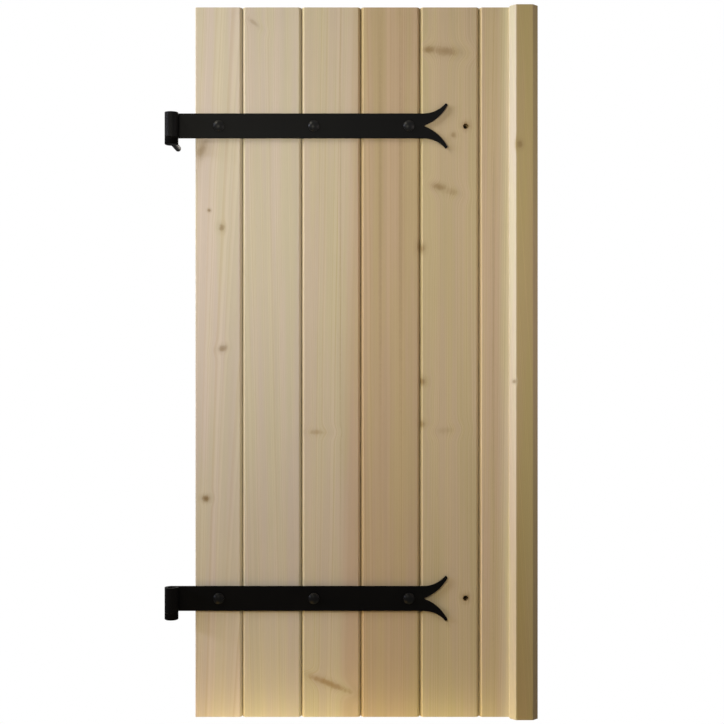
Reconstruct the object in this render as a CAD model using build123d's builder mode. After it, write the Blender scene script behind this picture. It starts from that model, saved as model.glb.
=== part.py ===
from build123d import *
from math import asin, degrees
import os

# One leaf of a hinged window shutter. Tongue-and-groove boards are clamped between strap hinges on
# the front and counter straps on the back, a cover strip runs down the meeting edge, and the rolled
# eyes of the straps turn on two wall pintles.
# Millimetres. X runs along the leaf from the hinge axis, Y runs into the wall, Z is up.
# The origin is on the axis of the lower pintle's shank, where the shank enters the wall.

# Leaf and its boards
leaf_height = 1150.0
board_thickness = 27.0
board_pitch = 96.0  # cover width of a full board
edge_board_width = 76.0  # the first and the last board are ripped narrower
full_board_count = 4
board_gap = 1.0  # open joint between two boards
joint_chamfer = 4.0  # each side of the V joint
edge_easing = 1.2  # on the two outer edges of the leaf
tongue_thickness = 8.0
tongue_length = 9.0
tongue_play = 0.2  # each side of the tongue
groove_floor_gap = 1.0  # past the tongue's tip

# Cover strip over the meeting edge
strip_width = 45.0
strip_thickness = 18.0
strip_overhang = 17.5  # past the last board
strip_chamfer = 9.0

# Strap hinges
strap_width = 40.0
strap_thickness = 4.0
strap_end_distance = 192.5  # from a strap's centre line to the nearer end of the leaf
strap_edge_chamfer = 0.6
eye_reach = 37.0  # from the hinge axis to the edge of the leaf
roll_gap = 0.9  # between the rolled end and the bar
fork_notch = 405.3  # from the hinge axis to the bottom of the fork's notch
fork_lead = 1.2  # straight edge past the notch, before the bar starts to flare
fork_outer_radius = 47.0
fork_outer_sweep = 50.0
fork_tip_width = 4.0
fork_tip_round = 1.2
fork_notch_round = 1.2
fork_inner_sagitta = 5.4

# Counter straps
counter_thickness = 4.0
counter_inset = 14.0  # from the hinge edge of the leaf
counter_end_margin = 20.0  # past the end screw
counter_corner_radius = 6.0

# Bolts through strap, board and counter strap
bolt_count = 3
bolt_pitch = 154.0
bolt_diameter = 8.0
bolt_head_diameter = 18.0
bolt_head_height = 5.0
bolt_head_rim = 0.8
bolt_neck_width = 8.0
bolt_tail = 2.5  # past the nut
bolt_play = 0.2
nut_width = 13.0  # across the flats
nut_height = 6.5
nut_play = 0.05
nut_chamfer_angle = 30.0

# Screws at the far end of the counter straps, each behind an open hole bored from the front
end_screw_pitch = 92.0  # from the last bolt
end_screw_diameter = 4.9
end_screw_head_diameter = 9.4
end_screw_length = 20.0
front_bore_diameter = 8.4
front_bore_depth = 9.0

# Screws that hold the cover strip, driven from the back
strip_screw_count = 5
strip_screw_diameter = 4.4
strip_screw_head_diameter = 8.6
strip_screw_length = 38.0
strip_screw_end_distance = 75.0  # from each end of the leaf

# Shared by both kinds of screw
screw_play = 0.05
screw_head_angle = 90.0
recess_width = 3.0  # square driver recess
recess_depth = 1.5

# Wall pintles
wall_gap = 2.0  # between the wall and the leaf's front face
pin_diameter = 14.0
pin_play = 0.08
pin_shortfall = 2.0  # the pin stops this far below the top of the eye
pin_tip_chamfer = 2.0
boss_height = 12.0
boss_edge_chamfer = 1.2
neck_diameter = 11.2
shank_diameter = 10.0
shank_length = 60.0  # in the wall
shank_tip_chamfer = 1.5

# Places, worked out from the sizes above
eye_bore_radius = pin_diameter / 2 + pin_play
eye_radius = eye_bore_radius + strap_thickness
roll_end_angle = degrees(asin((eye_bore_radius - roll_gap) / eye_radius))
axis_y = -wall_gap - eye_radius
front_y = -wall_gap  # front face of the boards, which carries the straps
back_y = front_y + board_thickness
strap_front_y = front_y - strap_thickness
counter_back_y = back_y + counter_thickness
lower_strap_z = boss_height / 2 + strap_width / 2
leaf_bottom = lower_strap_z - strap_end_distance
upper_strap_z = leaf_bottom + leaf_height - strap_end_distance
strap_heights = {"upper": upper_strap_z, "lower": lower_strap_z}

board_lines = [eye_reach, eye_reach + edge_board_width]
for number in range(full_board_count):
    board_lines.append(board_lines[-1] + board_pitch)
board_lines.append(board_lines[-1] + edge_board_width)
board_count = len(board_lines) - 1
leaf_edge = board_lines[-1]
strip_left = leaf_edge + strip_overhang - strip_width

bolt_lines = [eye_reach + edge_board_width / 2 + bolt_pitch * n for n in range(bolt_count)]
bolt_hole_radius = bolt_diameter / 2 + bolt_play
end_screw_x = bolt_lines[-1] + end_screw_pitch
end_hole_radius = end_screw_diameter / 2 + screw_play
strip_screw_x = (strip_left + leaf_edge) / 2
strip_screw_pitch = (leaf_height - 2 * strip_screw_end_distance) / (strip_screw_count - 1)
strip_screw_heights = [
    leaf_bottom + strip_screw_end_distance + strip_screw_pitch * n for n in range(strip_screw_count)
]


def front_plane(x, y, z):
    """A plane that faces away from the wall, with its own x along the leaf and its y up."""
    return Plane((x, y, z), x_dir=(1, 0, 0), z_dir=(0, -1, 0))


def back_plane(x, y, z):
    """A plane that faces the wall, with its own x back along the leaf and its y up."""
    return Plane((x, y, z), x_dir=(-1, 0, 0), z_dir=(0, 1, 0))


def make_board(number):
    """A board with a groove on the hinge side and a tongue on the meeting side, drilled through."""
    first = number == 1
    last = number == board_count
    left = board_lines[number - 1] + (0 if first else board_gap / 2)
    right = board_lines[number] - (0 if last else board_gap / 2)
    middle_y = (front_y + back_y) / 2
    groove_depth = tongue_length - board_gap + groove_floor_gap
    groove_width = tongue_thickness + 2 * tongue_play
    with BuildPart() as board:
        with BuildSketch(Plane.XY.offset(leaf_bottom)) as section:
            with Locations(((left + right) / 2, middle_y)):
                Rectangle(right - left, board_thickness)
            chamfer(section.vertices().group_by(Axis.X)[0], edge_easing if first else joint_chamfer)
            chamfer(section.vertices().group_by(Axis.X)[-1], edge_easing if last else joint_chamfer)
            if not last:
                with Locations((right, middle_y)):
                    Rectangle(tongue_length, tongue_thickness, align=(Align.MIN, Align.CENTER))
            if not first:
                side = (Align.MIN, Align.CENTER)
                with Locations((left, middle_y)):
                    Rectangle(groove_depth, groove_width, align=side, mode=Mode.SUBTRACT)
        extrude(amount=leaf_height)
        for strap_z in strap_heights.values():
            with Locations(*[front_plane(x, front_y, strap_z) for x in bolt_lines]):
                Hole(bolt_hole_radius)
            with Locations(front_plane(end_screw_x, front_y, strap_z)):
                CounterBoreHole(end_hole_radius, front_bore_diameter / 2, front_bore_depth)
        with Locations(*[back_plane(strip_screw_x, back_y, z) for z in strip_screw_heights]):
            CounterSinkHole(
                strip_screw_diameter / 2 + screw_play,
                strip_screw_head_diameter / 2 + screw_play,
                counter_sink_angle=screw_head_angle,
            )
    return board


def make_cover_strip():
    """The strip over the meeting edge, chamfered in front, with blind holes for its screws."""
    hole_depth = strip_screw_length - board_thickness + screw_play
    with BuildPart() as strip:
        with BuildSketch(Plane.XY.offset(leaf_bottom)) as section:
            with Locations((strip_left, front_y)):
                Rectangle(strip_width, strip_thickness, align=(Align.MIN, Align.MAX))
            chamfer(section.vertices().group_by(Axis.Y)[0], strip_chamfer)
        extrude(amount=leaf_height)
        with Locations(*[back_plane(strip_screw_x, front_y, z) for z in strip_screw_heights]):
            Hole(strip_screw_diameter / 2 + screw_play, depth=hole_depth)
    return strip


def make_strap_hinge(strap_z):
    """A flat bar split into two flared prongs at one end and rolled into an eye at the other."""
    half_width = strap_width / 2
    notch = (fork_notch, 0)
    flare_start = (fork_notch + fork_lead, half_width)
    bar_plane = front_plane(0, front_y, strap_z)
    with BuildPart() as strap:
        with BuildSketch(bar_plane) as outline:
            Rectangle(fork_notch, strap_width, align=(Align.MIN, Align.CENTER))
            with BuildLine():
                flare = JernArc(flare_start, (1, 0), fork_outer_radius, fork_outer_sweep)
                tip = PolarLine(flare @ 1, fork_tip_width, fork_outer_sweep - 90)
                SagittaArc(tip @ 1, notch, fork_inner_sagitta)
                Polyline(notch, (fork_notch, half_width), flare_start)
            make_face()
            mirror(about=Plane.XZ)
            fillet(outline.vertices().sort_by(Axis.X)[-4:], fork_tip_round)
            fillet(outline.vertices().sort_by_distance(notch)[0], fork_notch_round)
        extrude(amount=strap_thickness)
        front_edges = strap.faces().sort_by(Axis.Y)[0].outer_wire().edges()
        chamfer(front_edges.sort_by(Axis.X)[1:], strap_edge_chamfer)
        with BuildSketch(bar_plane):
            with Locations(*[(x, 0) for x in bolt_lines]):
                Rectangle(bolt_neck_width + 2 * bolt_play, bolt_neck_width + 2 * bolt_play)
        extrude(amount=strap_thickness, mode=Mode.SUBTRACT)
        with BuildSketch(Plane.XY.offset(strap_z - half_width)):
            with Locations((0, axis_y)):
                Circle(eye_radius)
                Circle(eye_bore_radius, mode=Mode.SUBTRACT)
            with BuildLine():
                roll_end = PolarLine((0, axis_y), 2 * eye_radius, roll_end_angle)
                Polyline(roll_end @ 1, (2 * eye_radius, 0), (0, 0), (0, axis_y))
            make_face(mode=Mode.SUBTRACT)
        extrude(amount=strap_width)
    return strap


def make_counter_strap(strap_z):
    """A plain flat bar on the back, with round holes for the bolts and a countersunk one at its end."""
    start = eye_reach + counter_inset
    end = end_screw_x + counter_end_margin
    with BuildPart() as bar:
        with BuildSketch(back_plane((start + end) / 2, back_y, strap_z)):
            RectangleRounded(end - start, strap_width, counter_corner_radius)
        extrude(amount=counter_thickness)
        with Locations(*[back_plane(x, counter_back_y, strap_z) for x in bolt_lines]):
            Hole(bolt_hole_radius)
        with Locations(back_plane(end_screw_x, counter_back_y, strap_z)):
            CounterSinkHole(
                end_hole_radius,
                end_screw_head_diameter / 2 + screw_play,
                counter_sink_angle=screw_head_angle,
            )
    return bar


def make_bolts(strap_z):
    """Dome-headed bolts with a square neck that sits in the strap."""
    tail_y = counter_back_y + nut_height + bolt_tail
    head_radius = bolt_head_diameter / 2
    shank_radius = bolt_diameter / 2
    dome_height = bolt_head_height - bolt_head_rim
    with BuildPart() as bolts:
        for x in bolt_lines:
            with BuildSketch(Plane((x, 0, strap_z))):
                with BuildLine():
                    crown = (0, strap_front_y - bolt_head_height)
                    rim = (head_radius, strap_front_y - bolt_head_rim)
                    RadiusArc(rim, crown, (head_radius**2 + dome_height**2) / (2 * dome_height))
                    Polyline(
                        rim,
                        (head_radius, strap_front_y),
                        (shank_radius, strap_front_y),
                        (shank_radius, tail_y),
                        (0, tail_y),
                        crown,
                    )
                make_face()
            revolve(axis=Axis((x, 0, strap_z), (0, 1, 0)))
            with BuildSketch(back_plane(x, strap_front_y, strap_z)):
                Rectangle(bolt_neck_width, bolt_neck_width)
            extrude(amount=strap_thickness)
    return bolts


def make_nuts(strap_z):
    """Hexagon nuts against the counter strap, with their outer corners turned off."""
    with BuildPart() as nuts:
        for x in bolt_lines:
            with BuildSketch(back_plane(x, counter_back_y, strap_z)):
                RegularPolygon(nut_width / 2, side_count=6, major_radius=False)
                Circle(bolt_diameter / 2 + nut_play, mode=Mode.SUBTRACT)
            extrude(amount=nut_height)
            with BuildSketch(Plane((x, counter_back_y + nut_height, strap_z))):
                with BuildLine():
                    slope = PolarLine((nut_width / 2, 0), nut_width, -nut_chamfer_angle)
                    Polyline(slope @ 1, (nut_width / 2 + nut_width, 0), slope @ 0)
                make_face()
            revolve(axis=Axis((x, 0, strap_z), (0, 1, 0)), mode=Mode.SUBTRACT)
    return nuts


def make_screws(places, seat_y, diameter, head_diameter, length):
    """Countersunk screws driven from the back, with a square recess in the flush head."""
    head_radius = head_diameter / 2
    shank_radius = diameter / 2
    with BuildPart() as screws:
        for x, z in places:
            with BuildSketch(Plane((x, seat_y, z))):
                with BuildLine():
                    cone = PolarLine(
                        (head_radius, 0),
                        head_radius - shank_radius,
                        -90 - screw_head_angle / 2,
                        length_mode=LengthMode.HORIZONTAL,
                    )
                    Polyline(cone @ 1, (shank_radius, -length), (0, -length), (0, 0), cone @ 0)
                make_face()
            revolve(axis=Axis((x, 0, z), (0, 1, 0)))
            with BuildSketch(back_plane(x, seat_y, z)):
                Rectangle(recess_width, recess_width)
            extrude(amount=-recess_depth, mode=Mode.SUBTRACT)
    return screws


def make_pintle(strap_z):
    """A wall pintle: an upright pin in the eye, a boss that carries the eye, and a shank for the wall."""
    boss_top = strap_z - strap_width / 2
    shank_z = boss_top - boss_height / 2
    with BuildPart() as pintle:
        with BuildSketch(Plane.XY.offset(boss_top - boss_height)):
            with Locations((0, axis_y)):
                Circle(eye_radius)
        extrude(amount=boss_height)
        chamfer(pintle.edges().filter_by(GeomType.CIRCLE), boss_edge_chamfer)
        with BuildSketch(Plane.XY.offset(boss_top)):
            with Locations((0, axis_y)):
                Circle(pin_diameter / 2)
        extrude(amount=strap_width - pin_shortfall)
        chamfer(pintle.edges().group_by(Axis.Z)[-1], pin_tip_chamfer)
        with BuildSketch(back_plane(0, axis_y, shank_z)):
            Circle(neck_diameter / 2)
        extrude(amount=-axis_y)
        with BuildSketch(back_plane(0, 0, shank_z)):
            Circle(shank_diameter / 2)
        extrude(amount=shank_length)
        chamfer(pintle.edges().group_by(Axis.Y)[-1], shank_tip_chamfer)
    return pintle


pieces = {f"board_{number}": make_board(number) for number in range(1, board_count + 1)}
pieces["cover_strip"] = make_cover_strip()
pieces["cover_strip_screws"] = make_screws(
    [(strip_screw_x, z) for z in strip_screw_heights],
    back_y,
    strip_screw_diameter,
    strip_screw_head_diameter,
    strip_screw_length,
)
for place, strap_z in strap_heights.items():
    pieces[f"{place}_strap_hinge"] = make_strap_hinge(strap_z)
    pieces[f"{place}_counter_strap"] = make_counter_strap(strap_z)
    pieces[f"{place}_strap_bolts"] = make_bolts(strap_z)
    pieces[f"{place}_strap_nuts"] = make_nuts(strap_z)
    pieces[f"{place}_end_screw"] = make_screws(
        [(end_screw_x, strap_z)],
        counter_back_y,
        end_screw_diameter,
        end_screw_head_diameter,
        end_screw_length,
    )
    pieces[f"{place}_pintle"] = make_pintle(strap_z)

os.makedirs("parts", exist_ok=True)
for name, piece in pieces.items():
    piece.part.label = name
    export_step(piece.part, f"parts/{name}.step")
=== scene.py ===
# %% [markdown]
# # A board-and-strap window shutter
# This lesson dresses one leaf of a hinged window shutter. The shapes and sizes come from a CAD model
# that is loaded as a fixed frame, in metres, with X along the leaf, Y into the wall and Z up. The work
# here is the light, the camera, the wood, the paint and the small threaded parts. Loading the CAD
# first means that no piece has to be fitted by eye: its place is already known.

# %% Load the frame
import math

import bpy
import numpy as np
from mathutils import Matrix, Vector


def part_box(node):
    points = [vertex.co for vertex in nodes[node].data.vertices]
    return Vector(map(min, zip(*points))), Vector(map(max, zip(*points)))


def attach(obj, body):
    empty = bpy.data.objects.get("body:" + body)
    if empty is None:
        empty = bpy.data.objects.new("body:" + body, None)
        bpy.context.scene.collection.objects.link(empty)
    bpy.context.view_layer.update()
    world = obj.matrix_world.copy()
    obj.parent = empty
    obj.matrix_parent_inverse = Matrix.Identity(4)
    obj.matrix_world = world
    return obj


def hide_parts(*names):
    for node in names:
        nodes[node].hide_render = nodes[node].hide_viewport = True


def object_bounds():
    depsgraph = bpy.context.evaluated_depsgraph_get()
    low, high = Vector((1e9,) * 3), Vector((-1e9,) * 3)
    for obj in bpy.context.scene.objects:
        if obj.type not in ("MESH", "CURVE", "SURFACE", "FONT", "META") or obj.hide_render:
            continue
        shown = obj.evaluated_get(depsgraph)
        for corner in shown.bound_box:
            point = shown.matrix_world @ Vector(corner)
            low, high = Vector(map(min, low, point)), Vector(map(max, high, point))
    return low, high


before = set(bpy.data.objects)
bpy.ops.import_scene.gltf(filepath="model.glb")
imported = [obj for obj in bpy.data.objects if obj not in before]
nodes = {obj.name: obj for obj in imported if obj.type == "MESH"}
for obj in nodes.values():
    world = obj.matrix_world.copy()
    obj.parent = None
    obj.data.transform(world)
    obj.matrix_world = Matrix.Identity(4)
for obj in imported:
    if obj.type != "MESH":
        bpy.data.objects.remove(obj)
cad_box = [list(corner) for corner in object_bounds()]
scene = bpy.context.scene
scene.view_settings.view_transform = "Standard"
print("loaded", len(nodes), "pieces, box in metres:", cad_box)

# %% [markdown]
# ## The camera
# The leaf is seen square from the front. A long lens far away would draw it without perspective, but
# here the cover strip and the rolled eyes look a little larger than the boards, because they stand
# nearer. That difference gives the distance: about two metres from the face of the boards. The lens
# then follows from the width of the picture at that distance, so nothing has to be tried out.

# %% Camera
board_face_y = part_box("board_1")[0].y
view_distance = 2.0
picture_width = 1.1734  # metres across the picture at the face of the boards
picture_middle = (0.3070, 0.4088)  # X and Z in the middle of the picture
sensor_width = 36.0

camera_data = bpy.data.cameras.new("front_camera")
camera_data.sensor_width = sensor_width
camera_data.lens = sensor_width * view_distance / picture_width
camera = bpy.data.objects.new("front_camera", camera_data)
camera.location = (picture_middle[0], board_face_y - view_distance, picture_middle[1])
camera.rotation_euler = (math.radians(90), 0, 0)
scene.collection.objects.link(camera)
scene.camera = camera
print("lens", round(camera_data.lens, 1), "mm")

# %% [markdown]
# ## Small helpers for node trees
# A shader tree is a recipe of small steps. Writing each step as one call keeps the recipe readable:
# `put` adds a node, `feed` links a socket or sets it to a number, and the next few are the steps that
# every pattern here is made of. `new_group` and `use_group` wrap a whole recipe, so that several
# materials can share it.

# %% Node helpers
def put(tree, kind, **settings):
    """Adds a shader node of this kind to a tree, with these settings."""
    node = tree.nodes.new("ShaderNode" + kind)
    for name, value in settings.items():
        setattr(node, name, value)
    return node


def feed(tree, socket, value):
    """Links an output to a socket, or sets the socket to a plain value."""
    if isinstance(value, bpy.types.NodeSocket):
        tree.links.new(value, socket)
    else:
        socket.default_value = value


def work(tree, operation, *terms):
    """One step of arithmetic on numbers, such as ADD or MULTIPLY."""
    node = put(tree, "Math", operation=operation)
    for socket, term in zip(node.inputs, terms):
        feed(tree, socket, term)
    return node.outputs[0]


def ease(tree, value, low, high, start=0.0, end=1.0):
    """A smooth step: start below low, end above high, and an S curve between them."""
    node = put(tree, "MapRange", interpolation_type="SMOOTHSTEP")
    for socket, term in zip(node.inputs, (value, low, high, start, end)):
        feed(tree, socket, term)
    return node.outputs[0]


def spread(tree, value, low, high):
    """Takes a number that runs from 0 to 1 to the range from low to high, in a straight line."""
    node = put(tree, "MapRange", clamp=False)
    for socket, term in zip(node.inputs, (value, 0.0, 1.0, low, high)):
        feed(tree, socket, term)
    return node.outputs[0]


def stretch(tree, vector, factors):
    """Multiplies a place by three factors. A small third one draws a pattern out along the grain."""
    node = put(tree, "VectorMath", operation="MULTIPLY")
    feed(tree, node.inputs[0], vector)
    feed(tree, node.inputs[1], factors)
    return node.outputs[0]


def cloud(tree, vector, scale, seed=0.0, detail=2.0):
    """Soft noise from 0 to 1 with about scale lumps to the metre."""
    node = put(tree, "TexNoise", noise_dimensions="4D")
    feed(tree, node.inputs["Vector"], vector)
    feed(tree, node.inputs["W"], seed)
    feed(tree, node.inputs["Scale"], scale)
    feed(tree, node.inputs["Detail"], detail)
    return node.outputs[0]


def tint(tree, share, first, second, mode="MIX"):
    """Mixes two colours, or multiplies the first by the second, by a share from 0 to 1."""
    node = put(tree, "Mix", data_type="RGBA", blend_type=mode)
    for number, term in zip((0, 6, 7), (share, first, second)):
        feed(tree, node.inputs[number], term)
    return node.outputs[2]


def new_group(name, inputs, outputs):
    """An empty node group with named sockets, and its two ends."""
    tree = bpy.data.node_groups.new(name, "ShaderNodeTree")
    for label, (kind, value) in inputs.items():
        socket = tree.interface.new_socket(label, in_out="INPUT", socket_type="NodeSocket" + kind)
        if value is not None:
            socket.default_value = value
    for label, kind in outputs.items():
        tree.interface.new_socket(label, in_out="OUTPUT", socket_type="NodeSocket" + kind)
    given = tree.nodes.new("NodeGroupInput").outputs
    result = tree.nodes.new("NodeGroupOutput").inputs
    return tree, given, result


def use_group(tree, group, **values):
    """Places a group in a tree. Underscores in the names of the values stand for spaces."""
    node = put(tree, "Group", node_tree=group)
    for name, value in values.items():
        feed(tree, node.inputs[name.replace("_", " ")], value)
    return node


print("node helpers ready")

# %% [markdown]
# ## Floor and background
# The leaf hangs in front of plain white, so the background should be white without throwing that much
# light on the wood. The world therefore shows white to the camera and in reflections, and gives the
# other rays a dimmer, slightly warm light. The floor lies well below the leaf, as the ground
# lies below a window. It is pale and takes the leaf's shadow, and it fades into the white.

# %% World
def looking_rays(tree):
    """1 for a ray from the camera, a mirror or a clear piece, and 0 for one that only carries light."""
    rays = put(tree, "LightPath").outputs
    looking = work(tree, "MAXIMUM", rays["Is Camera Ray"], rays["Is Glossy Ray"])
    return work(tree, "MAXIMUM", looking, rays["Is Transmission Ray"])


world = bpy.data.worlds.new("white_studio")
world.use_nodes = True
scene.world = world
sky = world.node_tree
sky.nodes.clear()
white = (1.0, 1.0, 1.0, 1.0)
room_light = (0.03, 0.025, 0.018, 1.0)
background = put(sky, "Background")
feed(sky, background.inputs["Color"], tint(sky, looking_rays(sky), room_light, white))
sky_end = put(sky, "OutputWorld")
feed(sky, sky_end.inputs["Surface"], background.outputs[0])
print("world", world.name, "gives a room light of", room_light[:3])

# %% Floor
floor_drop, floor_half = 0.75, 1.3  # metres below the leaf, and half the floor's width
floor_middle = (0.3, 0.0)
floor_z = cad_box[0][2] - floor_drop
floor_mesh = bpy.data.meshes.new("pale_floor")
corners = np.array([(-1, -1, 0), (1, -1, 0), (1, 1, 0), (-1, 1, 0)], float)
corners = corners * floor_half + np.array([*floor_middle, floor_z])
floor_mesh.from_pydata(corners.tolist(), [], [(0, 1, 2, 3)])
floor = bpy.data.objects.new("pale_floor", floor_mesh)
scene.collection.objects.link(floor)
print("floor at Z", round(floor_z, 3))

# %% Floor material
def new_material(name):
    """A material with an empty node tree, and that tree."""
    material = bpy.data.materials.new(name)
    material.use_nodes = True
    material.node_tree.nodes.clear()
    return material, material.node_tree


def show(tree, shader):
    """Links a shader to the output of its material."""
    end = put(tree, "OutputMaterial")
    feed(tree, end.inputs["Surface"], shader.outputs[0])


fade_start, fade_end, white_share = 0.3, 1.2, 0.55  # metres, and how white the middle is already
sandy, chalky = (0.80, 0.73, 0.62, 1.0), (0.86, 0.80, 0.69, 1.0)
speckle_lumps = 40.0

floor_material, ground = new_material("pale_floor")
place = put(ground, "TexCoord").outputs["Object"]
reach = put(ground, "VectorMath", operation="LENGTH")
feed(ground, reach.inputs[0], stretch(ground, place, (1.0, 1.0, 0.0)))
fade = ease(ground, reach.outputs["Value"], fade_start, fade_end, white_share, 1.0)
plaster = put(ground, "BsdfDiffuse")
feed(ground, plaster.inputs["Color"], tint(ground, cloud(ground, place, speckle_lumps), sandy, chalky))
glow = put(ground, "Emission")
glow.inputs["Strength"].default_value = 1.0
melt = put(ground, "MixShader")
feed(ground, melt.inputs[0], work(ground, "MULTIPLY", fade, looking_rays(ground)))
feed(ground, melt.inputs[1], plaster.outputs[0])
feed(ground, melt.inputs[2], glow.outputs[0])
show(ground, melt)
floor_mesh.materials.append(floor_material)
print("floor fades to white between", fade_start, "and", fade_end, "m")

# %% [markdown]
# ## The light
# The chamfers, the bolts and the straps tell where the light is. The left chamfer of the cover strip is
# far brighter than its front, so a soft lamp stands far round to the left. It is five metres away, because
# a near one would burn out the edge on the hinge side. The domes shine on their upper left and each strap
# has a soft shadow under it, so a second lamp hangs high on the left. A third stands near the camera.
# A weak fill on the right opens the shaded chamfer and two warm cards lift the foot of the boards. The
# last two lamps light the back and the upper ends. A grid, which narrows the beam, keeps the light of the
# far lamps off the floor.

# %% Lamps
def hang_lamp(name, place, target, power, width, height, colour, beam=180):
    """A soft rectangular lamp at a place, turned towards a target, with its power in watts and its
    width and height in metres. A beam under 180 degrees is a grid."""
    data = bpy.data.lights.new(name, "AREA")
    data.shape = "RECTANGLE"
    data.size, data.size_y = width, height
    data.energy = power
    data.color = colour
    data.spread = math.radians(beam)
    lamp = bpy.data.objects.new(name, data)
    lamp.location = place
    lamp.rotation_euler = (Vector(target) - Vector(place)).to_track_quat("-Z", "Y").to_euler()
    scene.collection.objects.link(lamp)


cool, warm, rosy = (0.80, 0.83, 1.0), (1.0, 0.96, 0.77), (1.0, 0.86, 0.80)
amber, straw = (1.0, 0.63, 0.17), (1.0, 0.92, 0.44)
cream, ivory = (1.0, 0.94, 0.84), (1.0, 0.95, 0.86)

hang_lamp("side_lamp", (-4.4, -1.2, 2.0), (0.45, 0.0, 0.55), 16.7, 1.2, 0.6, cool, 60)
hang_lamp("high_lamp", (-0.7, -0.45, 1.8), (0.2, 0.0, 0.55), 14.0, 0.4, 0.4, warm)
hang_lamp("front_lamp", (-0.04, -0.90, 0.67), (0.28, 0.0, 0.50), 5.1, 0.4, 0.4, warm)
hang_lamp("right_fill", (1.24, -0.34, 0.62), (0.50, 0.0, 0.62), 3.0, 0.6, 0.6, rosy)
hang_lamp("low_card", (-0.06, -0.10, -0.50), (0.30, 0.0, 0.09), 2.55, 0.6, 0.3, amber)
hang_lamp("foot_card", (0.29, -0.045, -0.2165), (0.29, 0.03, -0.11), 0.165, 0.5, 0.03, straw)
hang_lamp("back_lamp", (0.9, 2.6, 0.9), (0.3, 0.0, 0.4), 16.0, 1.0, 1.0, cream, 70)
hang_lamp("top_lamp", (0.3, 0.16, 3.0), (0.3, 0.06, 0.9), 0.4, 0.3, 0.3, ivory, 50)
print("lamps:", [lamp.name for lamp in bpy.data.lights])

# %% [markdown]
# ## Growth rings
# A board is a slice of a trunk, and its grain is where the slice cuts the year rings. So the wood is
# not painted on the faces: it fills the space. Each board is given a pith, the middle line of its own
# trunk, and the distance from that line counts the rings. The faces then show straight or arched
# grain, and the ends show the arcs of the same rings, with no seam at the edges.

# %% Growth ring group
ring_sockets = {
    "Pith X": ("Float", 0.1),
    "Pith Y": ("Float", 0.06),
    "Lean X": ("Float", 0.0),
    "Lean Y": ("Float", 0.0),
    "Ring Width": ("Float", 0.003),
    "Wander": ("Float", 0.006),
    "Seed": ("Float", 0.0),
}


def make_growth_rings():
    """Ring count = (distance from the pith line + wander) / ring width. The fraction past a whole
    number runs from pale early wood to the dark late-wood line, where it drops back at once."""
    long_waves = (1.0, 1.0, 0.13)
    slow_lumps, quick_lumps, quick_share = 11.0, 95.0, 0.16
    spell_scale, spell_swing = 0.21, 6.0  # spells of good and bad years set the rings wide or close
    faintest_ring = 0.12
    tree, given, result = new_group(
        "growth_rings",
        {"Vector": ("Vector", None), **ring_sockets},
        {"Late Wood": "Float", "Ring Tone": "Float", "Radius": "Float"},
    )
    split = put(tree, "SeparateXYZ")
    feed(tree, split.inputs[0], given["Vector"])
    x, y, z = split.outputs
    along = stretch(tree, given["Vector"], long_waves)
    slow = work(tree, "SUBTRACT", cloud(tree, along, slow_lumps, given["Seed"], 1.0), 0.5)
    quick = work(tree, "SUBTRACT", cloud(tree, along, quick_lumps, given["Seed"], 2.0), 0.5)
    slow = work(tree, "MULTIPLY", slow, given["Wander"])
    quick = work(tree, "MULTIPLY", quick, work(tree, "MULTIPLY", given["Wander"], quick_share))
    across = work(tree, "SUBTRACT", x, work(tree, "MULTIPLY_ADD", z, given["Lean X"], given["Pith X"]))
    deep = work(tree, "SUBTRACT", y, work(tree, "MULTIPLY_ADD", z, given["Lean Y"], given["Pith Y"]))
    square = work(tree, "MULTIPLY_ADD", across, across, work(tree, "MULTIPLY", deep, deep))
    radius = work(tree, "ADD", work(tree, "SQRT", square), work(tree, "ADD", slow, quick))
    count = work(tree, "DIVIDE", radius, given["Ring Width"])
    years = put(tree, "CombineXYZ")
    feed(tree, years.inputs[0], count)
    spell = cloud(tree, years.outputs[0], spell_scale, given["Seed"], 3.0)
    count = work(tree, "MULTIPLY_ADD", spell, spell_swing, count)
    part = work(tree, "FRACT", count)
    late = work(tree, "MULTIPLY", ease(tree, part, 0.30, 0.90), ease(tree, part, 0.93, 1.0, 1.0, 0.0))
    chance = put(tree, "TexWhiteNoise", noise_dimensions="2D")
    pair = put(tree, "CombineXYZ")
    feed(tree, pair.inputs[0], work(tree, "FLOOR", count))
    feed(tree, pair.inputs[1], given["Seed"])
    feed(tree, chance.inputs["Vector"], pair.outputs[0])
    year = chance.outputs["Value"]
    strong = spread(tree, work(tree, "POWER", year, 2.0), faintest_ring, 1.0)
    feed(tree, result["Late Wood"], work(tree, "MULTIPLY", late, strong))
    feed(tree, result["Ring Tone"], year)
    feed(tree, result["Radius"], radius)
    return tree


growth_rings = make_growth_rings()
print("group", growth_rings.name, "with", len(growth_rings.nodes), "nodes")

# %% [markdown]
# ## Branch knots
# A knot is the stub of a branch that the trunk grew round. Cut across it is a round brown eye, cut
# lengthwise it is a long brown streak, and the grain flows round either. One group makes both: an
# ellipse with its own length, height and tilt, a warm halo, and a push that bends the rings
# about it. Groups are chained, so a board may have as many marks as its trunk had branches.

# %% Knot group
mark_sockets = {"Knot": ("Float", 0.0), "Halo": ("Float", 0.0), "Eye": ("Float", 0.0)}


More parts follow.
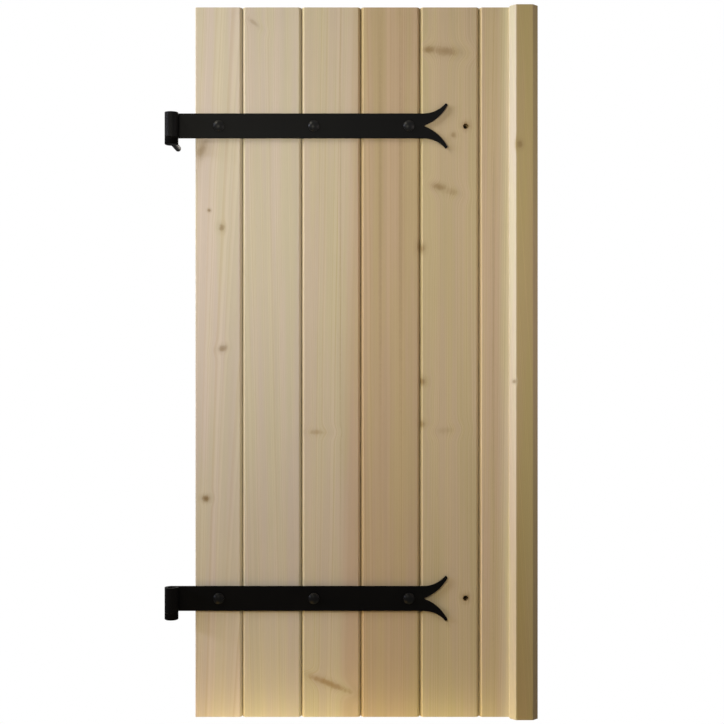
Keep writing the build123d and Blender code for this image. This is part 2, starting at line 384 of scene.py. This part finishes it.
def make_branch_knot():
    """With u and v the place in the ellipse's own axes, each divided by its half size, the mark is
    dark where sqrt(u*u + v*v) is under 1. The rings are pushed aside by a bell curve of that radius."""
    rough_lumps, rough_swing = 210.0, 0.45
    bell_slope, push_share, eye_ring = -0.25, -0.6, 0.3
    tree, given, result = new_group(
        "branch_knot",
        {
            "Vector": ("Vector", None),
            **mark_sockets,
            "Place X": ("Float", 0.0),
            "Place Z": ("Float", 0.0),
            "Half Length": ("Float", 0.006),
            "Half Height": ("Float", 0.004),
            "Tilt": ("Float", 0.0),
            "Strength": ("Float", 1.0),
        },
        {"Vector": "Vector", "Knot": "Float", "Halo": "Float", "Eye": "Float"},
    )
    split = put(tree, "SeparateXYZ")
    feed(tree, split.inputs[0], given["Vector"])
    dx = work(tree, "SUBTRACT", split.outputs[0], given["Place X"])
    dz = work(tree, "SUBTRACT", split.outputs[2], given["Place Z"])
    cosine, sine = work(tree, "COSINE", given["Tilt"]), work(tree, "SINE", given["Tilt"])
    u = work(tree, "MULTIPLY_ADD", dx, cosine, work(tree, "MULTIPLY", dz, sine))
    v = work(tree, "SUBTRACT", work(tree, "MULTIPLY", dz, cosine), work(tree, "MULTIPLY", dx, sine))
    u = work(tree, "DIVIDE", u, given["Half Length"])
    v = work(tree, "DIVIDE", v, given["Half Height"])
    square = work(tree, "MULTIPLY_ADD", u, u, work(tree, "MULTIPLY", v, v))
    rough = cloud(tree, given["Vector"], rough_lumps, 0.0, 3.0)
    rough = spread(tree, rough, -rough_swing, rough_swing)
    radius = work(tree, "ADD", work(tree, "SQRT", square), rough)
    mark = work(tree, "MULTIPLY", ease(tree, radius, 0.15, 1.25, 1.0, 0.0), given["Strength"])
    glow = work(tree, "MULTIPLY", ease(tree, radius, 0.5, 2.4, 1.0, 0.0), given["Strength"])
    bell = work(tree, "EXPONENT", work(tree, "MULTIPLY", square, bell_slope))
    push = put(tree, "CombineXYZ")
    feed(tree, push.inputs[0], work(tree, "MULTIPLY", dx, work(tree, "MULTIPLY", bell, push_share)))
    bent = put(tree, "VectorMath", operation="ADD")
    feed(tree, bent.inputs[0], given["Vector"])
    feed(tree, bent.inputs[1], push.outputs[0])
    eye = work(tree, "MULTIPLY", work(tree, "PINGPONG", radius, eye_ring), mark)
    feed(tree, result["Vector"], bent.outputs[0])
    for label, value in zip(mark_sockets, (mark, glow, eye)):
        feed(tree, result[label], work(tree, "MAXIMUM", given[label], value))
    return tree


branch_knot = make_branch_knot()
print("group", branch_knot.name, "with", len(branch_knot.nodes), "nodes")

# %% [markdown]
# ## Planed fir
# Over the rings lie finer things: fibres a fraction of a millimetre wide, short dark resin canals,
# broad bands where the tree grew faster, pink heartwood near the pith, and end grain that drinks light.
# Two tints are painted light and shade: one gives the flanks of the V joints and the chamfers their lit
# and shaded colour, and one lightens the face between two X bounds. Most patterns are drawn out along Z,
# because that is the way the tree grew. The group gives a colour, a roughness and a height, and leaves
# the shader itself to each board's material.

# %% Planed fir group
fir_sockets = {
    "Vector": ("Vector", None),
    "Normal": ("Vector", None),
    **mark_sockets,
    "Early Wood": ("Color", (0.6, 0.5, 0.36, 1.0)),
    "Late Wood": ("Color", (0.42, 0.3, 0.17, 1.0)),
    "Heartwood": ("Color", (0.55, 0.38, 0.27, 1.0)),
    "Knot Brown": ("Color", (0.2, 0.125, 0.055, 1.0)),
    "Heart Radius": ("Float", 0.03),
    "Grain": ("Float", 0.5),
    # Painted light and shade: the flank tint gives joint flanks, chamfers and side edges their lit and
    # shaded colour.
    "Flank": ("Color", (1.03, 1.03, 0.95, 1.0)),
    # Painted light: the next three values lighten the face between two X bounds.
    "Sapwood": ("Color", (1.0, 1.0, 1.0, 1.0)),
    "Sapwood From": ("Float", 1.0),
    "Sapwood To": ("Float", 1.1),
    **ring_sockets,
}
pinker, yellower = (1.01, 0.99, 1.03, 1.0), (0.99, 1.01, 0.93, 1.0)
end_grain = (0.80, 0.74, 0.66, 1.0)
year_swing, band_swing, fibre_swing = 0.035, 0.10, 0.06
heart_share, canal_share, halo_share = 0.7, 0.22, 0.45


def make_planed_fir():
    """Colour = early wood mixed with late wood and heartwood, times bands, fibres and the painted edge
    light, then mixed with halo and knot, times the painted flank light and shade and the end-grain tint.
    Height = fibres and late-wood ridges, less the pits of the resin canals."""
    outputs = {"Color": "Color", "Roughness": "Float", "Height": "Float"}
    tree, given, result = new_group("planed_fir", fir_sockets, outputs)

    def drawn_out(lumps, draw, detail, seed):
        """Noise with so many lumps to the metre across the grain, 1 / draw times as long along it."""
        return cloud(tree, stretch(tree, given["Vector"], (1.0, 1.0, draw)), lumps, seed, detail)

    def times(colour, factor):
        """A colour multiplied by a tint or by a plain number."""
        return tint(tree, 1.0, colour, factor, "MULTIPLY")

    rings = put(tree, "Group", node_tree=growth_rings)
    for name in ("Vector", *ring_sockets):
        feed(tree, rings.inputs[name], given[name])
    late, year, radius = rings.outputs
    seed = given["Seed"]
    fibre = drawn_out(1500.0, 0.016, 3.0, seed)
    band = drawn_out(46.0, 0.05, 2.0, seed)
    hue = drawn_out(62.0, 0.045, 2.0, work(tree, "ADD", seed, 0.5))
    canal = ease(tree, drawn_out(900.0, 0.07, 1.0, seed), 0.68, 0.76)
    heart_core = work(tree, "MULTIPLY", given["Heart Radius"], 0.7)
    heart = ease(tree, radius, heart_core, given["Heart Radius"], 1.0, 0.0)

    grain = work(tree, "MULTIPLY", late, given["Grain"])
    colour = tint(tree, grain, given["Early Wood"], given["Late Wood"])
    colour = tint(tree, work(tree, "MULTIPLY", heart, heart_share), colour, given["Heartwood"])
    for value, swing in ((year, year_swing), (band, band_swing), (fibre, fibre_swing)):
        colour = times(colour, spread(tree, value, 1.0 - swing, 1.0 + swing))
    colour = times(colour, tint(tree, ease(tree, hue, 0.36, 0.64), pinker, yellower))
    split = put(tree, "SeparateXYZ")
    feed(tree, split.inputs[0], given["Vector"])
    # Painted light: between the two X bounds the colour is multiplied by a bright tint.
    rim = ease(tree, split.outputs[0], given["Sapwood From"], given["Sapwood To"])
    colour = tint(tree, rim, colour, times(colour, given["Sapwood"]))
    colour = tint(tree, work(tree, "MULTIPLY", canal, canal_share), colour, given["Late Wood"])
    halo_brown = tint(tree, 0.45, given["Late Wood"], given["Knot Brown"])
    colour = tint(tree, work(tree, "MULTIPLY", given["Halo"], halo_share), colour, halo_brown)
    brown = tint(tree, work(tree, "MULTIPLY", given["Eye"], 1.6), given["Knot Brown"], halo_brown)
    colour = tint(tree, given["Knot"], colour, brown)

    facing = put(tree, "SeparateXYZ")
    feed(tree, facing.inputs[0], given["Normal"])
    # Painted light and shade: faces that point sideways, the joint flanks, chamfers and side edges, get a
    # tint for their lit and shaded colour.
    flanks = ease(tree, work(tree, "ABSOLUTE", facing.outputs[0]), 0.3, 0.6)
    colour = tint(tree, flanks, colour, times(colour, given["Flank"]))
    ends = ease(tree, work(tree, "ABSOLUTE", facing.outputs[2]), 0.6, 0.9)
    colour = tint(tree, ends, colour, times(colour, end_grain))

    rough = spread(tree, band, 0.54, 0.66)
    for value, change in ((late, -0.06), (given["Knot"], -0.10), (ends, 0.14)):
        rough = work(tree, "MULTIPLY_ADD", value, change, rough)
    height = work(tree, "MULTIPLY", fibre, 0.8)
    for value, change in ((late, 0.35), (canal, -0.5)):
        height = work(tree, "MULTIPLY_ADD", value, change, height)
    for label, value in zip(outputs, (colour, rough, height)):
        feed(tree, result[label], value)
    return tree


planed_fir = make_planed_fir()
print("group", planed_fir.name, "with", len(planed_fir.nodes), "nodes")

# %% [markdown]
# ## The boards
# The six boards and the cover strip come from different trees and from different places in them. So
# each gets its own material from one function: its tones, its pith, its ring width and the list of its
# marks. A mark is a place on the face, a half length, a half height, a tilt in degrees and a strength.
# The three boards on the hinge side are paler, the others are redder, and the strip is the darkest. The
# last two marks of the fifth board are painted shade that darkens the rims of its open holes. The last
# mark of the first board is a knot and partly a painted shadow of the upper rolled eye.

# %% Board materials
def coat_surface(tree, coat, specular, bump_strength, bump_depth):
    """The shader of a material, with the colour, roughness and height of a group. The height is a bump
    of this depth in metres."""
    relief = put(tree, "Bump")
    relief.inputs["Strength"].default_value = bump_strength
    relief.inputs["Distance"].default_value = bump_depth
    feed(tree, relief.inputs["Height"], coat.outputs["Height"])
    surface = put(tree, "BsdfPrincipled")
    surface.inputs["Specular IOR Level"].default_value = specular
    feed(tree, surface.inputs["Base Color"], coat.outputs["Color"])
    feed(tree, surface.inputs["Roughness"], coat.outputs["Roughness"])
    feed(tree, surface.inputs["Normal"], relief.outputs["Normal"])
    show(tree, surface)


wood_specular, wood_bump, wood_bump_depth = 0.12, 0.35, 0.0003


def fir_board(name, early, late, heart, marks, **growth):
    """A material of the planed fir group, with the marks of one board chained in front of it."""
    material, tree = new_material(name)
    coordinates = put(tree, "TexCoord").outputs
    place = coordinates["Object"]
    found = {}
    for x, z, half_length, half_height, tilt, strength in marks:
        knot = use_group(
            tree,
            branch_knot,
            Vector=place,
            Place_X=x,
            Place_Z=z,
            Half_Length=half_length,
            Half_Height=half_height,
            Tilt=math.radians(tilt),
            Strength=strength,
            **found,
        )
        place = knot.outputs["Vector"]
        found = {label: knot.outputs[label] for label in mark_sockets}
    wood = use_group(
        tree,
        planed_fir,
        Vector=place,
        Normal=coordinates["Normal"],
        Early_Wood=(*early, 1.0),
        Late_Wood=(*late, 1.0),
        Heartwood=(*heart, 1.0),
        **found,
        **growth,
    )
    coat_surface(tree, wood, wood_specular, wood_bump, wood_bump_depth)
    return material


def dress(node, material):
    """Puts a material in the slots of a CAD node, and leaves its mesh as it is."""
    for number in range(len(nodes[node].data.materials)):
        nodes[node].data.materials[number] = material
    print(node, "wears", material.name)


print("boards share the group", planed_fir.name)

# %% Boards on the hinge side
board_1_marks = [
    (0.0592, 0.6548, 0.0030, 0.0028, 0, 0.75),
    (0.0797, 0.6268, 0.0050, 0.0066, 0, 0.60),
    (0.0808, 0.4307, 0.0080, 0.0054, 20, 0.58),
    (0.0537, 0.1876, 0.0068, 0.0052, 0, 1.00),
    # Partly painted shadow: this mark under the upper strap is a knot and also the shadow of the rolled
    # eye.
    (0.0480, 0.7532, 0.0180, 0.0080, 70, 0.45),
]
dress("board_1", fir_board(
    "fir_board_1", (0.6, 0.52, 0.455), (0.46, 0.36, 0.24), (0.58, 0.45, 0.36), board_1_marks,
    Pith_X=0.125, Pith_Y=0.062, Lean_X=0.010, Lean_Y=0.022,
    Ring_Width=0.0030, Heart_Radius=0.030, Seed=1.3,
))
board_2_marks = [(0.1310, 0.9590, 0.0110, 0.0036, -38, 0.30)]
dress("board_2", fir_board(
    "fir_board_2", (0.575, 0.5, 0.42), (0.44, 0.35, 0.24), (0.56, 0.43, 0.34), board_2_marks,
    Pith_X=0.075, Pith_Y=0.045, Lean_X=-0.012, Lean_Y=0.010,
    Ring_Width=0.0026, Heart_Radius=0.030, Seed=4.1,
))
board_3_marks = [
    (0.2330, 0.2950, 0.0130, 0.0046, 0, 0.34),
    (0.2534, -0.1122, 0.0400, 0.0056, -21, 0.62),
    (0.2720, 0.5500, 0.4600, 0.0012, 90, 0.22),
]
dress("board_3", fir_board(
    "fir_board_3", (0.565, 0.48, 0.375), (0.44, 0.34, 0.21), (0.5, 0.36, 0.245), board_3_marks,
    Pith_X=0.318, Pith_Y=0.030, Lean_X=0.006, Lean_Y=0.012,
    Ring_Width=0.0032, Heart_Radius=0.062, Seed=7.7,
    Knot_Brown=(0.27, 0.15, 0.045, 1.0),
))

# %% Boards on the meeting side
board_4_marks = [
    (0.3369, 0.6500, 0.3300, 0.0030, 90, 0.20),
    (0.3693, 0.6200, 0.3500, 0.0026, 90, 0.20),
    (0.4010, 0.5960, 0.0100, 0.0050, 90, 0.6),
]
dress("board_4", fir_board(
    "fir_board_4", (0.505, 0.385, 0.255), (0.38, 0.26, 0.145), (0.5, 0.355, 0.23), board_4_marks,
    Pith_X=0.285, Pith_Y=0.036, Lean_X=0.006, Lean_Y=0.010,
    Ring_Width=0.0036, Heart_Radius=0.050, Seed=11.2,
))
board_5_marks = [
    (0.4160, 0.9150, 0.0100, 0.0062, 0, 0.60),
    (0.4400, 0.9125, 0.0270, 0.0076, -5, 0.45),
    (0.4320, 0.6925, 0.0120, 0.0058, -14, 0.52),
    (0.4480, 0.6850, 0.0130, 0.0060, -14, 0.26),
    (0.4552, 0.7767, 0.0050, 0.0048, 0, 0.45),
    (0.4420, 0.2978, 0.0140, 0.0060, 5, 0.16),
    (0.4025, 0.3772, 0.0080, 0.0066, 0, 0.70),
    (0.4025, 0.3075, 0.0080, 0.0066, 0, 0.60),
    (0.4030, 0.5930, 0.0070, 0.0080, 0, 0.50),
    # Painted shade: the last two marks darken the rims of the open holes.
    (0.4758, 0.7918, 0.0062, 0.0062, 0, 0.80),
    (0.4755, 0.0265, 0.0062, 0.0062, 0, 0.80),
]
dress("board_5", fir_board(
    "fir_board_5", (0.54, 0.435, 0.295), (0.4, 0.29, 0.165), (0.53, 0.38, 0.265), board_5_marks,
    Pith_X=0.375, Pith_Y=0.055, Lean_X=-0.010, Lean_Y=-0.016,
    Ring_Width=0.0028, Heart_Radius=0.040, Seed=15.8,
    Knot_Brown=(0.205, 0.12, 0.032, 1.0),
))
board_6_marks = [(0.5200, 0.4000, 0.5000, 0.0022, 90, 0.15)]
dress("board_6", fir_board(
    "fir_board_6", (0.58, 0.455, 0.315), (0.43, 0.305, 0.175), (0.56, 0.4, 0.275), board_6_marks,
    Pith_X=0.590, Pith_Y=0.030, Lean_X=0.008, Lean_Y=0.010,
    Ring_Width=0.0024, Heart_Radius=0.030, Seed=19.4,
    # Painted light: the last 22 mm of this board's face before the cover strip is lightened, as bounce
    # light from the strip's lit side.
    Sapwood=(1.19, 1.34, 1.45, 1.0), Sapwood_From=0.5235, Sapwood_To=0.5455,
))

# %% Cover strip
strip_marks = [
    (0.5607, 0.7590, 0.0048, 0.0066, 0, 0.55),
    (0.5520, 0.3774, 0.0030, 0.0034, 0, 0.55),
]
dress("cover_strip", fir_board(
    "fir_cover_strip", (0.44, 0.345, 0.18), (0.315, 0.22, 0.105), (0.375, 0.27, 0.12), strip_marks,
    Pith_X=0.480, Pith_Y=0.020, Lean_X=-0.060, Lean_Y=0.006,
    Ring_Width=0.0022, Heart_Radius=0.115, Seed=23.5,
    # Painted light and shade: this flank tint turns both chamfers of the strip bluer.
    Flank=(1.0, 1.02, 1.15, 1.0),
    # Painted light: the left chamfer of the strip, which faces the light, is lightened and cooled.
    Sapwood=(1.42, 1.58, 2.2, 1.0), Sapwood_From=0.5575, Sapwood_To=0.5535,
))

# %% [markdown]
# ## Black paint on iron
# The straps are flat bars, painted satin black. Paint on rolled bar is never dead flat: it
# has a faint orange peel, slow dull and shiny patches, and a little dust on the faces that look up.
# A metal shader would be wrong, because what shows is the paint, so the base is nearly black and all
# the life is in roughness and relief. The lower strap, bolts and nuts shine less than the upper ones; that
# is painted shade, a darker copy of the same paint. The bolts and nuts are smoother than the straps, and
# the pintles are the roughest.

# %% Black paint group
paint_dark, paint_light = (0.0022, 0.0022, 0.0026, 1.0), (0.0052, 0.0050, 0.0050, 1.0)
dust_tone, dust_share = (0.10, 0.085, 0.065, 1.0), 0.25
patch_lumps, peel_lumps, fine_lumps, dust_lumps = 24.0, 420.0, 1500.0, 130.0


def make_satin_paint():
    """Roughness = slow patches plus fine grain. Height = orange peel at two sizes. Dust lies where
    the normal points up, broken up by noise."""
    tree, given, result = new_group(
        "satin_paint",
        {
            "Vector": ("Vector", None),
            "Normal": ("Vector", None),
            "Seed": ("Float", 0.0),
            "Dullness": ("Float", 0.34),
        },
        {"Color": "Color", "Roughness": "Float", "Height": "Float"},
    )
    patch = cloud(tree, given["Vector"], patch_lumps, given["Seed"], 3.0)
    peel = cloud(tree, given["Vector"], peel_lumps, given["Seed"], 2.0)
    fine = cloud(tree, given["Vector"], fine_lumps, given["Seed"], 2.0)
    facing = put(tree, "SeparateXYZ")
    feed(tree, facing.inputs[0], given["Normal"])
    up = ease(tree, facing.outputs[2], 0.3, 0.9)
    settled = ease(tree, cloud(tree, given["Vector"], dust_lumps, given["Seed"], 4.0), 0.42, 0.72)
    dust = work(tree, "MULTIPLY", up, settled)
    base = tint(tree, patch, paint_dark, paint_light)
    colour = tint(tree, work(tree, "MULTIPLY", dust, dust_share), base, dust_tone)
    rough = spread(tree, patch, given["Dullness"], work(tree, "ADD", given["Dullness"], 0.16))
    rough = work(tree, "MULTIPLY_ADD", fine, 0.10, rough)
    rough = work(tree, "MULTIPLY_ADD", dust, 0.2, rough)
    feed(tree, result["Color"], colour)
    feed(tree, result["Roughness"], rough)
    feed(tree, result["Height"], work(tree, "MULTIPLY_ADD", fine, 0.3, peel))
    return tree


satin_paint = make_satin_paint()
print("group", satin_paint.name, "with", len(satin_paint.nodes), "nodes")

# %% Painted pieces
paint_bump, paint_bump_depth = 0.25, 0.0002


def painted_iron(name, seed, specular, dullness):
    """Satin black paint, with its own patches for each set of pieces."""
    material, tree = new_material(name)
    coordinates = put(tree, "TexCoord").outputs
    paint = use_group(
        tree,
        satin_paint,
        Vector=coordinates["Object"],
        Normal=coordinates["Normal"],
        Seed=seed,
        Dullness=dullness,
    )
    coat_surface(tree, paint, specular, paint_bump, paint_bump_depth)
    return material


pintle_paint = painted_iron("pintle_black", 13.0, 0.004, 0.40)
# Lit and shaded copies of one paint: the upper pieces shine more and the lower ones less, as painted light
# and shade.
fitting_paint = {
    "upper": painted_iron("upper_fitting_black_lit", 9.0, 0.11, 0.20),
    "lower": painted_iron("lower_fitting_black_shaded", 9.0, 0.045, 0.20),
}
strap_paint = {
    "upper": painted_iron("upper_strap_black_lit", 2.0, 0.05, 0.34),
    "lower": painted_iron("lower_strap_black_shaded", 5.0, 0.012, 0.34),
}
for place, paint in strap_paint.items():
    dress(place + "_strap_hinge", paint)
    dress(place + "_counter_strap", paint)
    dress(place + "_pintle", pintle_paint)

# %% [markdown]
# ## Zinc screws
# The screws that hold the strip and the ends of the counter straps are plated. Zinc is a real metal
# surface, so Metallic is 1, and the plate shows faint cloudy patches in colour and shine.

# %% Zinc plate
zinc_grey, zinc_straw = (0.42, 0.42, 0.42, 1.0), (0.60, 0.58, 0.53, 1.0)
bloom_lumps, grit_lumps = 320.0, 2600.0

zinc, plate = new_material("bright_zinc")
place = put(plate, "TexCoord").outputs["Object"]
bloom = cloud(plate, place, bloom_lumps, 3.0, 3.0)
grit = cloud(plate, place, grit_lumps, 5.0, 2.0)
metal = put(plate, "BsdfPrincipled")
metal.inputs["Metallic"].default_value = 1.0
feed(plate, metal.inputs["Base Color"], tint(plate, bloom, zinc_grey, zinc_straw))
rough = work(plate, "MULTIPLY_ADD", grit, 0.14, spread(plate, bloom, 0.20, 0.36))
feed(plate, metal.inputs["Roughness"], rough)
dent = put(plate, "Bump")
dent.inputs["Strength"].default_value = 0.2
dent.inputs["Distance"].default_value = 0.0001
feed(plate, dent.inputs["Height"], grit)
feed(plate, metal.inputs["Normal"], dent.outputs["Normal"])
show(plate, metal)
print("material", zinc.name)

# %% [markdown]
# ## Turned and threaded pieces
# Bolts, nuts and screws are round bars with a few flats and one helix. They could be cut from cylinders
# with boolean tools, but those leave ragged edges. Here each is one closed skin with two parameters: the
# turn about its axis and the row along it. A profile gives each row its radius, and the square neck, the
# hexagon or the thread then changes that radius with the turn. The skin takes the place of the CAD piece.

# %% Skins about an axis
full_turn = 2.0 * np.pi


def turns(around):
    """Equal steps of the turn about the axis, from 0 up to a full turn."""
    return np.linspace(0.0, full_turn, around, endpoint=False)


def turned_points(radius, along):
    """Rings about the Y axis: X = radius cos(turn), Y = along, Z = radius sin(turn)."""
    turn = turns(radius.shape[1])
    level = np.broadcast_to(along[:, None], radius.shape)
    return np.stack([radius * np.cos(turn), level, radius * np.sin(turn)], axis=-1).reshape(-1, 3)


def ring_quads(rows, around, endless=False):
    """Corner numbers of the squares between rings. An endless skin joins its last ring to its first."""
    row = np.arange(rows if endless else rows - 1)[:, None]
    column = np.arange(around)[None, :]
    after, beside = (row + 1) % rows, (column + 1) % around
    corners = ((row, column), (after, column), (after, beside), (row, beside))
    return np.stack([r * around + c for r, c in corners], axis=-1).reshape(-1, 4)


def pole_fans(rows, around):
    """Corner numbers of the triangles that close both ends. The two poles come after the rings."""
    column = np.arange(around)
    beside = (column + 1) % around
    pole = np.full(around, rows * around)
    last = (rows - 1) * around
    front = np.stack([pole, column, beside], axis=-1)
    back = np.stack([pole + 1, last + beside, last + column], axis=-1)
    return np.concatenate([front, back])


print("a ring of 64 points steps by", round(math.degrees(turns(64)[1]), 3), "degrees")

# %% Setting pieces in place
mm = 0.001  # skins are worked out in millimetres
sharp_angle = math.radians(38)


def set_pieces(name, points, faces, places, node, material):
    """One mesh with a copy of the points at each place. It rides on the leaf in place of a CAD node."""
    places = np.array(places)
    copies = (places[:, None, :] + points[None]).reshape(-1, 3)
    shift = len(points) * np.arange(len(places))[:, None, None]
    corners = [(kind[None] + shift).reshape(-1, kind.shape[1]).tolist() for kind in faces]
    mesh = bpy.data.meshes.new(name)
    mesh.from_pydata(copies.tolist(), [], sum(corners, []))
    mesh.shade_smooth()
    mesh.set_sharp_from_angle(angle=sharp_angle)
    mesh.materials.append(material)
    piece = bpy.data.objects.new(name, mesh)
    scene.collection.objects.link(piece)
    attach(piece, "leaf")
    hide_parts(node)
    print(name, "has", len(mesh.polygons), "faces in", len(places), "pieces")


print("skins are worked out in millimetres and scaled by", mm)

# %% [markdown]
# ## Dome bolts
# Each strap is held by three bolts with a low dome on the front, a square neck that keeps the bolt from
# turning in the strap, a plain shank through the board and a thread at the back. The dome is a part of a
# sphere, so its profile is a circle's arc. The thread is a zigzag wave that climbs by one pitch a turn.

# %% Bolts
head_radius, head_rim, dome_height = 9.0, 0.8, 4.2
neck_half, neck_length = 4.0, 4.0
shank_radius, bolt_reach, thread_length = 4.0, 44.0, 13.0
bolt_pitch, thread_depth, tail_chamfer = 1.25, 0.6, 0.8
bolt_around, dome_rows, thread_rows = 64, 16, 100
crown_share = 0.06  # where the first ring of the dome lies on its arc
bolts_in_strap = 3


def bolt_skin():
    """Radius of a row: arc of the dome, rim, square neck = half width / max(|cos|, |sin|), shank, then
    the thread = shank radius - depth * zigzag(along / pitch + turn), cut by a cone at the tail."""
    turn = turns(bolt_around)
    sphere = (head_radius**2 + dome_height**2) / (2.0 * dome_height)
    angle = np.linspace(crown_share, 1.0, dome_rows) * math.asin(head_radius / sphere)
    dome = -head_rim - dome_height + sphere * (1.0 - np.cos(angle))
    thread = np.linspace(bolt_reach - thread_length, bolt_reach, thread_rows)
    along = np.concatenate([dome, [0.0, 0.0, neck_length, neck_length], thread])
    shank = np.full(len(thread) + 3, shank_radius)
    plain = np.concatenate([sphere * np.sin(angle), [head_radius], shank])
    radius = np.repeat(plain[:, None], bolt_around, axis=1)
    square = neck_half / np.maximum(np.abs(np.cos(turn)), np.abs(np.sin(turn)))
    first_neck = dome_rows + 1
    radius[first_neck:first_neck + 2] = square
    wave = np.abs((along[:, None] / bolt_pitch + turn / full_turn) % 1.0 - 0.5) * 2.0
    run_in = np.clip((along - thread[0]) / bolt_pitch, 0.0, 1.0)
    radius = radius - thread_depth * wave * run_in[:, None]
    tail = shank_radius - tail_chamfer + (bolt_reach - along)
    radius = np.where(along[:, None] > thread[0], np.minimum(radius, tail[:, None]), radius)
    poles = np.array([[0.0, -head_rim - dome_height, 0.0], [0.0, bolt_reach, 0.0]])
    points = np.concatenate([turned_points(radius, along), poles])
    return points * mm, [ring_quads(len(along), bolt_around), pole_fans(len(along), bolt_around)]


bolt_points, bolt_faces = bolt_skin()
for place in ("upper", "lower"):
    low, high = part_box(place + "_strap_bolts")
    line = np.linspace(low.x + head_radius * mm, high.x - head_radius * mm, bolts_in_strap)
    strap_face = low.y + (head_rim + dome_height) * mm
    places = [(x, strap_face, (low.z + high.z) / 2) for x in line]
    set_pieces(
        f"{place}_dome_bolts", bolt_points, bolt_faces, places,
        place + "_strap_bolts", fitting_paint[place],
    )

# %% [markdown]
# ## Hexagon nuts
# A nut is a hexagon bar cut by a flat cone, which leaves the curved edges on its outer face. So its
# radius is the smaller of the two at every turn. The skin has no poles: it goes up outside, in over the
# face and down through the bore, and closes on itself like a ring.

# %% Nuts
flat_radius, nut_height, nut_bore, bore_chamfer = 6.5, 6.5, 4.05, 0.6
cone_depth, cone_rows, cone_angle = 0.6, 7, math.radians(30)
half_side = math.radians(30)  # the turn from the middle of a flat to its corner
nut_around = 72


def nut_skin():
    """Outer radius = min(flat radius / cos(turn from the middle of the flat), cone of 30 degrees)."""
    hexagon = flat_radius / np.cos(turns(nut_around) % (2.0 * half_side) - half_side)
    outside = np.concatenate([[0.0], nut_height - np.linspace(cone_depth, 0.0, cone_rows)])
    cone = flat_radius + (nut_height - outside) / math.tan(cone_angle)
    outer = np.minimum(hexagon[None, :], cone[:, None])
    inner = np.repeat([[nut_bore + bore_chamfer], [nut_bore], [nut_bore]], nut_around, axis=1)
    along = np.concatenate([outside, [nut_height, nut_height - bore_chamfer, 0.0]])
    points = turned_points(np.concatenate([outer, inner]), along)
    return points * mm, [ring_quads(len(along), nut_around, endless=True)]


nut_points, nut_faces = nut_skin()
nut_corner = flat_radius / math.cos(half_side) * mm
for place in ("upper", "lower"):
    low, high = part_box(place + "_strap_nuts")
    line = np.linspace(low.x + nut_corner, high.x - nut_corner, bolts_in_strap)
    places = [(x, low.y, (low.z + high.z) / 2) for x in line]
    set_pieces(
        f"{place}_hexagon_nuts", nut_points, nut_faces, places,
        place + "_strap_nuts", fitting_paint[place],
    )

# %% [markdown]
# ## Countersunk screws
# The screws come from the back and end flush. Each has a six-lobed recess for the driver, a cone
# under the head, and a thin sharp thread that runs out to a point. The point shows in the two open holes
# of the fifth board, so it has to be there. The ridge of a wood screw is narrow, with a wide valley, so
# the wave is a steep peak with flat ground between the turns.

# %% Screw skin
lobe_count, lobe_radius, lobe_swing = 6, 1.55, 0.28
recess_depth, recess_taper, recess_tip = 1.5, 0.86, 0.2
screw_pitch, core_share, ridge_steepness = 2.2, 0.66, 4.4
point_length, point_gap, point_start, point_bulge = 6.0, 0.3, 0.02, 0.8
plain_length, neck_share, run_out = 5.0, 1.12, 0.6
screw_around, rows_in_pitch = 48, 8


def screw_skin(diameter, head_diameter, length):
    """Radius = core + ridge * peak(along / pitch + turn), drawn to a point at the tip, then a plain neck,
    the head's cone, and the recess = lobe radius + swing * cos(6 turns)."""
    turn = turns(screw_around)
    crest, head = diameter / 2.0, head_diameter / 2.0
    core = crest * core_share
    neck = core * neck_share
    thread = np.arange(point_gap, length - head - plain_length, screw_pitch / rows_in_pitch) - length
    climb = (thread[:, None] / screw_pitch + turn / full_turn) % 1.0
    peak = np.clip(1.0 - np.abs(climb - 0.5) * ridge_steepness, 0.0, 1.0)
    taper = np.clip((thread + length) / point_length, point_start, 1.0)[:, None] ** point_bulge
    ridge = (core + (crest - core) * peak) * taper
    lobes = lobe_radius + lobe_swing * np.cos(lobe_count * turn)
    face = np.stack([np.full(screw_around, head), lobes, lobes * recess_taper])
    radius = np.concatenate([ridge, np.full((2, screw_around), neck), face])
    along = np.concatenate([thread, [thread[-1] + run_out, neck - head, 0.0, 0.0, -recess_depth]])
    poles = np.array([[0.0, -length, 0.0], [0.0, -recess_depth - recess_tip, 0.0]])
    points = np.concatenate([turned_points(radius, along), poles])
    return points * mm, [ring_quads(len(along), screw_around), pole_fans(len(along), screw_around)]


print("each turn of a screw thread has", rows_in_pitch, "rows of", screw_around, "points")

# %% Screws of the strip and of the counter straps
strip_thread, strip_head, strip_length = 4.4, 8.6, 38.0
end_thread, end_head, end_length = 4.9, 9.4, 20.0
strip_screw_count = 5

low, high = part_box("cover_strip_screws")
edge = strip_head / 2 * mm
heights = np.linspace(low.z + edge, high.z - edge, strip_screw_count)
places = [((low.x + high.x) / 2, high.y, z) for z in heights]
screw_points, screw_faces = screw_skin(strip_thread, strip_head, strip_length)
set_pieces("strip_screws", screw_points, screw_faces, places, "cover_strip_screws", zinc)
screw_points, screw_faces = screw_skin(end_thread, end_head, end_length)
for place in ("upper", "lower"):
    low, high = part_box(place + "_end_screw")
    middle = [((low.x + high.x) / 2, high.y, (low.z + high.z) / 2)]
    set_pieces(
        f"{place}_point_screw", screw_points, screw_faces, middle,
        place + "_end_screw", zinc,
    )
